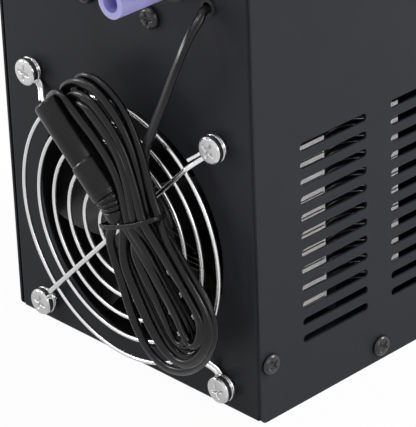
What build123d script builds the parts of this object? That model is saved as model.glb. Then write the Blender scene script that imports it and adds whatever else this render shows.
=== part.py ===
from build123d import *
import os
from math import hypot, radians, tan

# Aquarium chiller: a folded sheet metal box with a fan behind a wire guard at one end.
# Frame: X runs across the fan end, Y from the fan end to the far end, Z up.
# The origin is the middle of the underside of the base. Millimetres.

# Casing: it is as wide as the fan and the room beside it
side_room = 11.5
sheet = 1.0
bend_in = 0.6
cover_gap = 0.2
flange_w = 14.0
corner_relief = 2.0
cover_corner_r = 2.5

# Air slots in the cover, counted up from the lowest
slot_len = 37.0
slot_h = 3.5
slot_pitch = 7.62
slot_rows = 12
slot_cols = 2
slot_low_z = 28.0
slot_col_gap = 13.9

# Cover screws: pan heads on the end flanges and the floor flanges
cover_screw_r = 1.6
cover_head_r = 4.4
cover_head_h = 2.4
cover_screw_len = 7.0
end_screw_y = 5.2
end_screw_low = 25.5
end_screw_drop = 25.0
floor_screw_z = 6.7

# Fan
fan_size = 120.0
fan_depth = 25.0
fan_hole_in = 7.5
fan_low = 2.9
fan_corner_r = 6.0
fan_plate = 4.0
fan_wall = 1.4
fan_hole_r = 2.0
opening_in = 7.4
fan_gap = 0.05
hub_r = 20.5
hub_depth = 17.5
hub_wall = 1.6
hub_front = 2.2
hub_edge_r = 2.0
tip_gap = 1.2
blade_count = 7
blade_t = 1.8
blade_chord = 30.0
blade_bow = 2.7
blade_in = 3.0
blade_over = 4.0
blade_back = 1.0
blade_root_tilt = 52.0
blade_tip_tilt = 28.0
blade_mid_sweep = 5.6
blade_sweep = 16.0
motor_plate = 3.0
strut_count = 4
strut_w = 6.0
magnet_t = 2.0
magnet_len = 11.0
bearing_r = 3.5
bearing_wall = 1.6
bearing_len = 14.0
shaft_r = 1.5
running_gap = 0.05
shaft_end_gap = 1.0
stator_gap = 0.6
stator_len = 9.0
stator_lift = 1.0
stator_rim = 2.0
pole_count = 4
pole_w = 6.0
pole_gap = 2.4
core_wall = 3.0
board_t = 1.2
sensor_size = (5.0, 3.5, 1.0)
sensor_r = 10.0

# Wire guard
ring_wire = 1.8
ring_count = 6
wire_sides = 6
ring_in = 3.7
ring_inner_r = 10.8
ring_off = 6.2
spoke_wire = 2.6
weld = 0.3
loop_r = 4.1
knee_in = 2.0
knee_r = 1.9
spoke_step = 9.0
step_r = 3.0
guard_head_r = 5.7
guard_head_h = 2.6
guard_screw_r = 1.9
guard_screw_len = 16.0

# Heat sink: stacked fins with folded edges on three heat pipes
fin_over = 2.4
fin_gap_to_fan = 2.0
fin_len = 62.0
fin_low_z = 32.0
fin_pitch = 4.9
fin_count = 15
fin_t = 0.6
fin_seam = 0.4
notch_len = 25.0
notch_depth = 7.0
pipe_r = 3.0
pipe_count = 2
pipe_pitch = 24.0
pipe_x = 42.0
pipe_over = 2.0
pipe_gap = 0.1

# Cold side, stacked up from the floor
foam_floor = 4.0
foam_wall = 3.0
block_side = 40.0
block_h = 12.0
module_side = 40.0
module_h = 3.8
sink_base_w = 64.0
sink_base_h = 7.2
clamp_hole_in = 5.0
clamp_bite = 8.0
post_r = 3.0
clamp_screw_r = 1.5
clamp_head_r = 3.0
clamp_head_h = 2.0
nipple_r = 4.0
nipple_bore_r = 2.8
nipple_len = 14.0
nipple_x = 11.0
barb_h = 0.6
barb_len = 2.0
ceramic_t = 0.8
leg_inset = 1.0

# Hoses
hose_r = 6.5
hose_bore_r = 4.0
hose_x = 30.0
hose_rise = 19.5
hose_cover = 37.0
hose_out = 31.0
hose_behind = 23.0
hose_to_end = 23.0
hose_bend = 22.0
hose_on = 12.0
foam_gap = 0.4
grommet_lip = 1.6
grommet_lip_t = 1.2
grommet_wall = 1.2

# Terminal board on a bracket behind the fan end
bracket_screw_x = 18.2
bracket_rise = 35.6
bracket_head_r = 4.6
bracket_head_h = 3.0
bracket_half_w = 22.5
bracket_t = 1.2
bracket_depth = 40.0
bracket_half_h = 7.5
bracket_screw_r = 1.9
bracket_bite = 3.0
boss_r = 2.0
boss_in = 3.0
board_half_w = 19.0
board_len = 32.0
board_lift = 3.0
board_back = 1.0
terminal_w = 24.0
terminal_l = 9.0
terminal_h = 8.0
terminal_count = 4
terminal_hole_r = 2.0
terminal_hole_depth = 3.0

# Leads inside the box
module_lead_d = 2.4
fan_lead_d = 2.0
fan_lead_x = 28.0

# Supply cord, its hole, the tied hank and the in-line socket
cord_hole_in = 22.0
cord_hole_drop = 6.3
cord_d = 4.4
cord_grommet_r = 3.7
cord_grommet_lip_t = 0.8
hank_gap = 0.3
hank_thick = 12.0
tie_x = 19.5
tie_z = 78.5
tie_tilt = 23.5
tie_len = 38.0
tie_w = 3.0
tie_t = 0.9
tie_r = 5.0
socket_mouth = (-20.4, 21.0, 118.9)
socket_heel = (18.9, 18.5, 83.2)
socket_r = 6.6
socket_step = 28.0
socket_neck_r = 7.0
socket_len = 43.5
socket_bore_r = 3.9
socket_depth = 12.0
shell_t = 0.5
shell_in = 0.8
pin_r = 1.2
pin_in = 2.5
relief_r = 6.2
relief_end_r = 4.2
relief_ribs = 4
rib_pitch = 1.75
rib_gap = 0.7
rib_depth = 1.0

# Worked out from the sizes above
fan_z = fan_low + fan_size / 2
fan_top = fan_low + fan_size
fan_pitch = fan_size - 2 * fan_hole_in
opening_r = fan_size / 2 - opening_in
ring_outer_r = fan_size / 2 - ring_in
ring_pitch = (ring_outer_r - ring_inner_r) / (ring_count - 1)
bracket_screw_z = fan_top + bracket_rise
bracket_low_z = bracket_screw_z - bracket_half_h
hose_z = bracket_screw_z + hose_rise
cord_hole_z = hose_z - cord_hole_drop
hose_back_y = sheet + fan_depth + fin_gap_to_fan + fin_len + hose_behind
box_w = fan_size + 2 * side_room
box_l = hose_back_y + hose_to_end
box_h = hose_z + hose_cover
end_screw_z = (end_screw_low, box_h - end_screw_drop)
cord_hole_x = box_w / 2 - cord_hole_in
fin_half_w = fan_size / 2 + fin_over
sink_base_l = fin_len
front = -box_l / 2
end_reach = flange_w + corner_relief
floor_len = box_l - 2 * end_reach
inner_w = box_w - 2 * (sheet + cover_gap)
bend_out = bend_in + sheet
base_h = box_h - sheet - cover_gap
duct_r = fan_size / 2 - fan_wall
fan_front = front + sheet
fan_back = fan_front + fan_depth
impeller_r = duct_r - tip_gap
hub_face = fan_front + hub_front
motor_face = fan_back - motor_plate
ring_y = front - ring_off
front_spoke_y = ring_y - (ring_wire + spoke_wire) / 2 + weld
rear_spoke_y = ring_y + (ring_wire + spoke_wire) / 2 - weld
loop_y = front - spoke_wire / 2
fin_front = fan_back + fin_gap_to_fan
fin_mid = fin_front + fin_len / 2
fin_back = fin_front + fin_len
block_z = sheet + foam_floor
module_z = block_z + block_h
sink_base_z = module_z + module_h
pipe_z = sink_base_z + sink_base_h / 2
pipe_bend = fin_low_z - pipe_z - pipe_gap
fin_top = fin_low_z + (fin_count - 1) * fin_pitch + fin_t
board_z = bracket_low_z + bracket_t + board_lift
board_y = front + sheet + bracket_depth / 2 + board_back
terminal_z = board_z + board_t + terminal_h / 2
guard_out = ring_off + (ring_wire + spoke_wire) / 2 - weld + spoke_wire / 2
hank_back = guard_out + tie_t + hank_gap
cord_hole_r = (cord_grommet_r + cord_d / 2) / 2
corners = [(sx * fan_pitch / 2, fan_z + sz * fan_pitch / 2) for sx in (-1, 1) for sz in (-1, 1)]


def at_front(x, z, y=0.0):
    """Plane facing out of the fan end at (x, z), y behind the face of the end."""
    return Plane(origin=(x, front + y, z), x_dir=(1, 0, 0), z_dir=(0, -1, 0))


def rod_y(radius, x, z, y0, y1):
    """Round bar along Y from y0 to y1."""
    return at_front(x, z, y1 - front) * extrude(Circle(radius), amount=y1 - y0)


def channel(width, depth, wall, radius):
    """Folded channel section, open towards +Y, with rounded bends."""
    low = (Align.CENTER, Align.MIN)
    outer = Rectangle(width, depth, align=low)
    outer = fillet(outer.vertices().group_by(Axis.Y)[0], radius + wall)
    inner = Pos(0, wall) * Rectangle(width - 2 * wall, depth, align=low)
    inner = fillet(inner.vertices().group_by(Axis.Y)[0], radius)
    return outer - inner


def tube(points, radii, radius, bore=0.0):
    """Round bar or tube along straight runs joined by arcs."""
    path = FilletPolyline(*points, radius=radii)
    section = Circle(radius) - Circle(bore) if bore else Circle(radius)
    start = Plane(origin=path @ 0, z_dir=path % 0)
    return sweep(start * section, path=path)


def bend_radii(points, name):
    """Arc at each corner of a cord: 0.45 of its shorter run over the tangent of half the turn."""
    radii = []
    for a, b, c in zip(points, points[1:], points[2:]):
        into, out = Vector(*b) - Vector(*a), Vector(*c) - Vector(*b)
        turn = into.get_angle(out)
        radii.append(0.45 * min(into.length, out.length) / tan(radians(turn) / 2))
    print(name, "bend radii", [round(r, 1) for r in radii])
    return radii


def pan_screw(place, head_r, head_h, shank_r, length):
    """Pan head with a bevelled rim, on a plain shank that points into the plane."""
    bevel = head_h / 2
    points = [
        (0, head_h), (head_r - bevel, head_h), (head_r, head_h - bevel), (head_r, 0),
        (shank_r, 0), (shank_r, -length), (0, -length),
    ]
    return place * revolve(Plane.XZ * make_face(Polyline(*points, close=True)), axis=Axis.Z)


def cut_screw_holes(shape):
    """Shape with the holes of the cover screws that reach it."""
    for place in cover_screw_places():
        shape -= place * extrude(Circle(cover_screw_r), amount=-2 * cover_screw_len)
    return shape


def floor_pan():
    """Floor between the ends, with a flange on each side that carries the cover."""
    pan = extrude(Plane.XZ * channel(inner_w, flange_w, sheet, bend_in), amount=floor_len / 2, both=True)
    return cut_screw_holes(pan)


def end_panel():
    """End folded from one sheet, with its foot, its top flange and a flange on each side."""
    loop = Pos(0, base_h / 2) * (
        RectangleRounded(box_l, base_h, bend_out)
        - RectangleRounded(box_l - 2 * sheet, base_h - 2 * sheet, bend_in)
    )
    loop -= Pos(0, base_h) * Rectangle(box_l - 2 * flange_w, 4 * sheet)
    loop &= Pos(front + end_reach / 2, base_h / 2) * Rectangle(end_reach, 2 * base_h)
    panel = extrude(Plane.YZ * loop, amount=inner_w / 2 - bend_out, both=True)
    end_flange = channel(inner_w, flange_w, sheet, bend_in)
    panel += Pos(0, front, corner_relief) * extrude(end_flange, amount=base_h - 2 * corner_relief)
    return cut_screw_holes(panel)


def fan_panel():
    """End that carries the fan, with its opening and the holes of its screws, hoses and cord."""
    panel = end_panel() - rod_y(opening_r, 0, fan_z, front - sheet, front + 2 * sheet)
    holes = [(x, z, fan_hole_r) for x, z in corners]
    holes += [(side * bracket_screw_x, bracket_screw_z, bracket_screw_r) for side in (-1, 1)]
    holes += [(side * hose_x, hose_z, hose_r + grommet_wall) for side in (-1, 1)]
    holes += [(cord_hole_x, cord_hole_z, cord_hole_r)]
    for x, z, radius in holes:
        panel -= rod_y(radius, x, z, front - sheet, front + 2 * sheet)
    return panel


def rear_panel():
    """Plain end away from the fan."""
    return Rot(0, 0, 180) * end_panel()


def cover_screw_places():
    """Outward planes of the screws on both sides of the cover."""
    spots = [(side_y, z) for z in end_screw_z for side_y in (front + end_screw_y, -front - end_screw_y)]
    spots.append((0.0, floor_screw_z))
    return [
        Plane(origin=(side * box_w / 2, y, z), x_dir=(0, side, 0), z_dir=(side, 0, 0))
        for side in (-1, 1)
        for y, z in spots
    ]


def top_cover():
    """Top and both sides folded from one sheet, with two columns of air slots in each side."""
    section = Rot(0, 0, 180) * channel(box_w, box_h, sheet, bend_in)
    section = Pos(0, box_h) * section
    cover = extrude(Plane.XZ * section, amount=box_l / 2, both=True)
    low = cover.edges().filter_by(Axis.X).group_by(Axis.Z)[0]
    cover = fillet(low, cover_corner_r)
    pitch_y = slot_len + slot_col_gap
    slots = [
        Pos((col - (slot_cols - 1) / 2) * pitch_y, slot_low_z + row * slot_pitch)
        * SlotOverall(slot_len, slot_h)
        for col in range(slot_cols)
        for row in range(slot_rows)
    ]
    cover -= extrude(Plane.YZ * Sketch(children=slots), amount=box_w, both=True)
    for place in cover_screw_places():
        cover -= place * extrude(Circle(cover_screw_r), amount=-2 * sheet)
    return cover


def cover_screws():
    """Black pan head screws that hold the cover to the flanges."""
    return [
        pan_screw(place, cover_head_r, cover_head_h, cover_screw_r, cover_screw_len)
        for place in cover_screw_places()
    ]


def fan_frame():
    """Square fan frame: two end plates on a round duct, with struts that carry the motor plate."""
    plate = extrude(RectangleRounded(fan_size, fan_size, fan_corner_r), amount=fan_plate)
    frame = plate + Pos(0, 0, fan_depth - fan_plate) * plate
    frame += extrude(Circle(duct_r + fan_wall - fan_gap), amount=fan_depth)
    frame -= extrude(Circle(duct_r), amount=fan_depth)
    for x, z in corners:
        frame -= Pos(x, z - fan_z, 0) * extrude(Circle(fan_hole_r), amount=fan_depth)
    struts = Sketch()
    for i in range(strut_count):
        turn = Rot(0, 0, (i + 0.5) * 360 / strut_count)
        struts += turn * Pos(duct_r / 2, 0) * Rectangle(duct_r + fan_wall, strut_w)
    motor = Circle(hub_r) + (struts & Circle(duct_r + fan_wall / 2))
    frame += extrude(motor, amount=motor_plate)
    frame += extrude(Circle(bearing_r + bearing_wall), amount=motor_plate + bearing_len)
    frame -= Pos(0, 0, motor_plate) * extrude(Circle(bearing_r), amount=bearing_len)
    return at_front(0, fan_z, fan_back - front) * frame


def fan_bearing():
    """Bronze sleeve pressed into the post of the motor plate."""
    start = motor_face - bearing_len
    sleeve = rod_y(bearing_r, 0, fan_z, start, motor_face)
    return sleeve - rod_y(shaft_r + running_gap, 0, fan_z, start, motor_face)


def fan_shaft():
    """Steel shaft, pressed into the hub of the impeller and running in the sleeve."""
    return rod_y(shaft_r, 0, fan_z, hub_face + hub_wall / 2, motor_face - shaft_end_gap)


def blade_section(radius, tilt, lead):
    """Cambered blade section at one radius, in the plane that faces along the blade."""
    half = blade_chord / 2
    lower = ThreePointArc((-half, 0), (0, blade_bow - blade_t / 2), (half, 0))
    upper = ThreePointArc((half, 0), (0, blade_bow + blade_t / 2), (-half, 0))
    return Pos(lead, 0, radius) * Rot(0, 0, tilt) * make_face([lower, upper])


def fan_impeller():
    """Hub cup with swept, twisted blades, open at the back for the motor."""
    full_len = hub_depth + blade_back
    hub = rod_y(hub_r, 0, 0, 0, hub_depth)
    hub = fillet(hub.edges().group_by(Axis.Y)[0], hub_edge_r)
    blade = loft(
        [
            blade_section(hub_r - blade_in, blade_root_tilt, 0.0),
            blade_section((hub_r + impeller_r) / 2, (blade_root_tilt + blade_tip_tilt) / 2, blade_mid_sweep),
            blade_section(impeller_r + blade_over, blade_tip_tilt, blade_sweep),
        ]
    )
    blade = Pos(0, hub_depth / 2 + blade_back, 0) * blade & rod_y(impeller_r, 0, 0, 0, full_len)
    for i in range(blade_count):
        hub += Rot(0, i * 360 / blade_count, 0) * blade
    hub -= rod_y(hub_r - hub_wall, 0, 0, hub_wall, full_len)
    hub += rod_y(shaft_r + hub_wall, 0, 0, hub_wall / 2, 2 * hub_wall)
    hub -= rod_y(shaft_r, 0, 0, hub_wall / 2, full_len)
    return Pos(0, hub_face, fan_z) * hub


def fan_magnet():
    """Ring magnet inside the hub cup."""
    outer = hub_r - hub_wall
    start = hub_face + hub_depth - magnet_len
    ring = rod_y(outer, 0, fan_z, start, start + magnet_len)
    return ring - rod_y(outer - magnet_t, 0, fan_z, start, start + magnet_len)


def fan_stator():
    """Core with one wound pole in each quarter, on the bearing post."""
    outer = hub_r - hub_wall - magnet_t - stator_gap
    post = bearing_r + bearing_wall
    step = 360 / pole_count
    core = Circle(outer) - Circle(outer - stator_rim)
    for i in range(pole_count):
        core -= Rot(0, 0, (i + 0.5) * step) * Pos(outer, 0) * Rectangle(2 * pole_gap, pole_gap)
        core += Rot(0, 0, i * step) * Pos(outer / 2, 0) * Rectangle(outer - stator_rim / 2, pole_w)
    core = core + Circle(post + core_wall) - Circle(post)
    return at_front(0, fan_z, motor_face - front - board_t - stator_lift) * extrude(core, amount=stator_len)


def fan_circuit():
    """Ring shaped circuit board on the motor plate, with the sensor of the magnet."""
    wide, tall, deep = sensor_size
    ring = Circle(hub_r - hub_wall - magnet_t + stator_gap) - Circle(bearing_r + bearing_wall)
    board = extrude(ring, amount=board_t)
    board += Pos(0, sensor_r, board_t) * extrude(Rectangle(wide, tall), amount=deep)
    return at_front(0, fan_z, motor_face - front) * board


def wire_ring(radius, y, wire):
    """Wire bent into a ring that faces the fan, with a few flat sides round its section."""
    section = Plane.XZ * Pos(radius, 0) * RegularPolygon(wire / 2, wire_sides)
    return at_front(0, fan_z, y - front) * revolve(section, axis=Axis.Z)


def spoke(angle, y):
    """Diagonal wire with a loop round a screw hole at each end, stepped out to the rings."""
    reach = hypot(fan_pitch, fan_pitch) / 2
    start = reach - loop_r
    knee = start - knee_in
    lift = loop_y - y
    half = [(start, 0), (knee, 0), (knee - spoke_step, lift)]
    points = [(x, 0, z) for x, z in half] + [(-x, 0, z) for x, z in reversed(half)]
    path = FilletPolyline(*points, radius=[knee_r, step_r, step_r, knee_r])
    section = RegularPolygon(spoke_wire / 2, wire_sides)
    wire = sweep(Plane(origin=path @ 0, z_dir=path % 0) * section, path=path)
    loop = revolve(Plane.XZ * Pos(loop_r, 0) * section, axis=Axis.Z)
    for side in (-1, 1):
        wire += Pos(side * reach, 0, 0) * loop
    return at_front(0, fan_z, loop_y - front) * Rot(0, 0, angle) * wire


def fan_guard():
    """Welded wire guard: rings between a front and a rear diagonal."""
    guard = spoke(45, front_spoke_y) + spoke(-45, rear_spoke_y)
    for i in range(ring_count):
        guard += wire_ring(ring_outer_r - i * ring_pitch, ring_y, ring_wire)
    return guard


def guard_screws():
    """Large headed plated screws through the guard and the panel into the fan frame."""
    return [
        pan_screw(at_front(x, z, -spoke_wire), guard_head_r, guard_head_h, guard_screw_r, guard_screw_len)
        for x, z in corners
    ]


def pipe_places():
    """Distance along Y of each heat pipe."""
    return [fin_mid + (i - (pipe_count - 1) / 2) * pipe_pitch for i in range(pipe_count)]


def heat_sink_fins():
    """Thin fins pressed on the pipes, with side edges folded up and a hollow in each side."""
    plate = Rectangle(2 * fin_half_w, fin_len)
    bow_r = (notch_len**2 / 4 + notch_depth**2) / (2 * notch_depth)
    fold_len = (fin_len - notch_len) / 2
    fold = Rectangle(fin_t, fold_len)
    folds = Sketch()
    for side in (-1, 1):
        plate -= Pos(side * (fin_half_w - notch_depth + bow_r), 0) * Circle(bow_r)
        for y in pipe_places():
            plate -= Pos(side * pipe_x, y - fin_mid) * Circle(pipe_r)
        for end in (-1, 1):
            folds += Pos(side * (fin_half_w - fin_t / 2), end * (fin_len - fold_len) / 2) * fold
    fin = extrude(plate, amount=fin_t) + extrude(folds, amount=fin_pitch - fin_seam)
    return [Pos(0, fin_mid, fin_low_z + i * fin_pitch) * fin for i in range(fin_count)]


def heat_pipes():
    """U shaped pipes: a level run through the base and two legs up through the fins."""
    top = fin_top + fin_pitch - fin_t + pipe_over
    pipes = []
    for y in pipe_places():
        points = [(-pipe_x, y, top), (-pipe_x, y, pipe_z), (pipe_x, y, pipe_z), (pipe_x, y, top)]
        pipes.append(tube(points, pipe_bend, pipe_r))
    return pipes


def clamp_places():
    """Plan places of the screws that clamp the cold side."""
    half_x = sink_base_w / 2 - clamp_hole_in
    half_y = sink_base_l / 2 - clamp_hole_in
    return [(sx * half_x, fin_mid + sy * half_y) for sx in (-1, 1) for sy in (-1, 1)]


def heat_sink_base():
    """Base plate that carries the pipes and spreads the heat of the module."""
    plate = extrude(Rectangle(sink_base_w, sink_base_l), amount=sink_base_h)
    plate = Pos(0, fin_mid, sink_base_z) * plate
    for y in pipe_places():
        plate -= Pos(0, y, pipe_z) * Rot(0, 90, 0) * Cylinder(pipe_r, sink_base_w)
    for x, y in clamp_places():
        plate -= Pos(x, y, sink_base_z) * extrude(Circle(clamp_screw_r), amount=sink_base_h)
    return plate


def clamp_posts():
    """Threaded posts that stand on the floor under the corners of the base plate."""
    post = extrude(RegularPolygon(post_r, 6) - Circle(clamp_screw_r), amount=sink_base_z - sheet)
    return [Pos(x, y, sheet) * post for x, y in clamp_places()]


def clamp_screws():
    """Screws through the base plate into the posts."""
    top = sink_base_z + sink_base_h
    length = sink_base_h + clamp_bite
    return [
        pan_screw(Plane(origin=(x, y, top)), clamp_head_r, clamp_head_h, clamp_screw_r, length)
        for x, y in clamp_places()
    ]


def peltier_module():
    """Two ceramic plates with the block of thermoelectric legs between them."""
    legs = extrude(Rectangle(module_side - 2 * leg_inset, module_side - 2 * leg_inset), amount=module_h)
    plate = extrude(Rectangle(module_side, module_side), amount=ceramic_t)
    return Pos(0, fin_mid, module_z) * (legs + plate + Pos(0, 0, module_h - ceramic_t) * plate)


def water_block():
    """Aluminium cold block with a U shaped water way and two barbed nipples."""
    block = Pos(0, 0, block_h / 2) * Box(block_side, block_side, block_h)
    back = block_side / 2
    cross = 2 * nipple_bore_r - back
    for side in (-1, 1):
        spot = Plane(origin=(side * nipple_x, back, block_h / 2), x_dir=(1, 0, 0), z_dir=(0, 1, 0))
        block += spot * extrude(Circle(nipple_r - barb_h), amount=nipple_len)
        block += spot * Pos(0, 0, nipple_len - 2 * barb_len) * extrude(Circle(nipple_r), amount=barb_len)
        way = extrude(Circle(nipple_bore_r), amount=nipple_len + back - cross)
        block -= spot * Pos(0, 0, cross - back) * way
    block -= Pos(0, cross, block_h / 2) * Rot(0, 90, 0) * Cylinder(nipple_bore_r, 2 * nipple_x)
    return Pos(0, fin_mid, block_z) * block


def block_insulation():
    """Foam tray round the cold block, cut away at the back for the hoses."""
    outer = block_side + 2 * foam_wall
    axis_z = foam_floor + block_h / 2
    top = foam_floor + block_h
    low = (Align.CENTER, Align.CENTER, Align.MIN)
    tray = Box(outer, outer, top, align=low)
    tray -= Pos(0, 0, foam_floor) * Box(block_side, block_side, block_h, align=low)
    cut_z = axis_z - hose_r - foam_gap
    cut = Box(2 * (nipple_x + hose_r + foam_gap), foam_wall, top - cut_z, align=low)
    tray -= Pos(0, (block_side + foam_wall) / 2, cut_z) * cut
    return Pos(0, fin_mid, sheet) * tray


def hose(side):
    """Silicone hose from a nipple of the block, up behind the fins and out of the fan end."""
    start = fin_mid + block_side / 2 + nipple_len - hose_on
    back = front + hose_back_y
    low = block_z + block_h / 2
    points = [
        (side * nipple_x, start, low),
        (side * nipple_x, back, low),
        (side * hose_x, back, hose_z),
        (side * hose_x, front - hose_out, hose_z),
    ]
    return tube(points, hose_bend, hose_r, hose_bore_r)


def hose_grommets():
    """Rubber rings that line the two hose holes, with a lip on each face."""
    sleeve = hose_r + grommet_wall
    rings = []
    for side in (-1, 1):
        x = side * hose_x
        ring = rod_y(sleeve, x, hose_z, front, front + sheet)
        for y in (front - grommet_lip_t, front + sheet):
            ring += rod_y(sleeve + grommet_lip, x, hose_z, y, y + grommet_lip_t)
        rings.append(ring - rod_y(hose_r, x, hose_z, front - hose_out, front + hose_out))
    return rings


def cord_grommet():
    """Thin rubber ring in the cord hole."""
    lip = cord_grommet_lip_t
    ring = rod_y(cord_grommet_r, cord_hole_x, cord_hole_z, front - lip, front)
    ring += rod_y(cord_hole_r, cord_hole_x, cord_hole_z, front, front + sheet)
    ring += rod_y(cord_grommet_r, cord_hole_x, cord_hole_z, front + sheet, front + sheet + lip)
    return ring - rod_y(cord_d / 2, cord_hole_x, cord_hole_z, front - sheet - lip, front + 2 * sheet + lip)


def board_places():
    """Plan places of the bosses under the terminal board."""
    half_x = board_half_w - boss_in
    half_y = board_len / 2 - boss_in
    return [(sx * half_x, board_y + sy * half_y) for sx in (-1, 1) for sy in (-1, 1)]


def terminal_bracket():
    """Angle of sheet metal screwed behind the fan end, with bosses for the board."""
    low = (Align.MIN, Align.MIN)
    angle = Rectangle(bracket_depth, 2 * bracket_half_h, align=low)
    angle -= Pos(bracket_t, bracket_t) * Rectangle(bracket_depth, 2 * bracket_half_h, align=low)
    shelf = extrude(Plane.YZ * angle, amount=bracket_half_w, both=True)
    shelf = Pos(0, front + sheet, bracket_low_z) * shelf
    for side in (-1, 1):
        shelf -= rod_y(bracket_screw_r, side * bracket_screw_x, bracket_screw_z, front, front + 3 * sheet)
    for x, y in board_places():
        shelf += Pos(x, y, bracket_low_z + bracket_t) * extrude(Circle(boss_r), amount=board_lift)
    return shelf


def terminal_board():
    """Circuit board with one row of screw terminals."""
    board = Pos(0, board_y, board_z) * extrude(Rectangle(2 * board_half_w, board_len), amount=board_t)
    top = board_z + board_t
    row = Pos(0, board_y, top) * extrude(Rectangle(terminal_w, terminal_l), amount=terminal_h)
    for i in range(terminal_count):
        x = (i - (terminal_count - 1) / 2) * terminal_w / terminal_count
        hole = extrude(Circle(terminal_hole_r), amount=-terminal_hole_depth)
        row -= Pos(x, board_y, top + terminal_h) * hole
    return board + row


def bracket_screws():
    """Black pan head screws that show on the fan end under the hoses."""
    length = sheet + bracket_t + bracket_bite
    return [
        pan_screw(
            at_front(side * bracket_screw_x, bracket_screw_z),
            bracket_head_r, bracket_head_h, bracket_screw_r, length,
        )
        for side in (-1, 1)
    ]


def lead(name, points, diameter):
    """Insulated wire along a hand laid route."""
    return tube(points, bend_radii(points, name), diameter / 2)


def supply_lead():
    """Supply cord inside the box, from its grommet to the terminals."""
    points = [
        (cord_hole_x, front + sheet, cord_hole_z),
        (cord_hole_x, front + 10.0, cord_hole_z),
        (cord_hole_x - 2.6, front + 17.6, cord_hole_z - 1.2),
        (cord_hole_x - 9.4, board_y - 0.2, cord_hole_z - 4.4),
        (cord_hole_x - 18.5, board_y, cord_hole_z - 8.6),
        (cord_hole_x - 27.5, board_y, terminal_z),
        (terminal_w / 2, board_y, terminal_z),
    ]
    return lead("supply_lead", points, cord_d)


def module_lead():
    """Pair of wires of the module, up beside the fins to the terminals."""
    low = module_z + module_h / 2
    rise = terminal_z - low
    points = [
        (0.0, fin_mid + module_side / 2, low),
        (0.0, fin_mid + module_side / 2 + 19.0, low),
        (1.5, fin_back + 9.5, low + 0.17 * rise),
        (2.5, fin_back + 7.5, low + 0.44 * rise),
        (1.0, fin_back + 3.0, low + 0.72 * rise),
        (0.0, board_y + 1.5 * board_len, low + 0.926 * rise),
        (0.0, board_y + 0.81 * board_len, terminal_z),
        (0.0, board_y + terminal_l / 2, terminal_z),
    ]
    return lead("module_lead", points, module_lead_d)


def fan_lead():
    """Wires of the fan, from the edge of its frame up to the terminals."""
    rise = terminal_z - fan_top
    points = [
        (-fan_lead_x, board_y + 2.0, fan_top),
        (-fan_lead_x, board_y + 2.0, fan_top + 0.35 * rise),
        (-1.05 * fan_lead_x, board_y + 1.0, fan_top + 0.64 * rise),
        (-0.96 * fan_lead_x, board_y, fan_top + 0.893 * rise),
        (-0.71 * fan_lead_x, board_y, terminal_z),
        (-terminal_w / 2, board_y, terminal_z),
    ]
    return lead("fan_lead", points, fan_lead_d)


def power_cord():
    """Cord from its hole in the fan end down to the hank."""
    points = [
        (cord_hole_x, front + sheet, cord_hole_z),
        (cord_hole_x, front - 7.8, cord_hole_z),
        (cord_hole_x - 0.2, front - 15.3, cord_hole_z - 4.4),
        (cord_hole_x - 1.2, front - 19.5, cord_hole_z - 12.4),
        (cord_hole_x - 4.8, front - 19.8, cord_hole_z - 22.8),
        (cord_hole_x - 11.5, front - 18.2, cord_hole_z - 34.0),
        (cord_hole_x - 18.0, front - 17.4, cord_hole_z - 46.0),
        (cord_hole_x - 22.5, front - 17.0, cord_hole_z - 58.0),
    ]
    return lead("power_cord", points, cord_d) - hank_body()


def hank_body():
    """Outer shape of the coiled cord, as it hangs in front of the guard, with a bed for the socket."""
    points = [
        (-18, 122), (-11, 129), (-3, 134), (6, 135.5), (14, 133), (21, 127), (27, 117), (32, 102), (36, 87),
        (41, 72), (56, 62), (64, 52), (63, 38), (53, 25), (35, 15), (20, 19.5), (11, 42), (5, 66), (-3, 81),
        (-16, 93.5), (-31, 106.5), (-28, 116),
    ]
    body = at_front(0, 0, -hank_back) * extrude(make_face(Spline(*points, periodic=True)), amount=hank_thick)
    return body - socket_outline(hank_gap)


def tie_place():
    """Plane across the waist of the hank."""
    return Plane(origin=(tie_x, front - hank_back - hank_thick / 2, tie_z)) * Rot(0, -tie_tilt, 0)


def tie_section(grow):
    """Rounded section of the waist, grown on all sides."""
    return RectangleRounded(tie_len - 2 * tie_t + 2 * grow, hank_thick + 2 * grow, tie_r + grow)


def cord_hank():
    """Closed shape of the tied hank, drawn in at its waist by the tie."""
    seat = extrude(Rectangle(2 * tie_len, 4 * hank_thick), amount=tie_w / 2, both=True)
    waist = extrude(tie_section(0.0), amount=tie_w / 2, both=True)
    return hank_body() - tie_place() * seat + tie_place() * waist


def cord_tie():
    """Flat tie round the waist of the hank."""
    return tie_place() * extrude(tie_section(tie_t) - tie_section(0.0), amount=tie_w / 2, both=True)


def socket_place():
    """Plane at the open end of the in-line socket, facing out along its axis."""
    mouth = Vector(socket_mouth[0], front - socket_mouth[1], socket_mouth[2])
    heel = Vector(socket_heel[0], front - socket_heel[1], socket_heel[2])
    return Plane(origin=mouth, x_dir=(0, 1, 0), z_dir=(mouth - heel).normalized())


def socket_outline(grow):
    """Barrel, slightly thicker neck and tapered sleeve of the in-line socket, grown on all sides."""
    full_len = (Vector(*socket_mouth) - Vector(*socket_heel)).length
    end = relief_end_r + grow
    points = [
        (0, grow), (socket_r + grow, grow), (socket_r + grow, -socket_step + grow),
        (socket_neck_r + grow, -socket_step + grow), (socket_neck_r + grow, -socket_len - grow),
        (relief_r + grow, -socket_len - grow), (end, -full_len), (0, -full_len),
    ]
    return socket_place() * revolve(Plane.XZ * make_face(Polyline(*points, close=True)), axis=Axis.Z)


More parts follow.
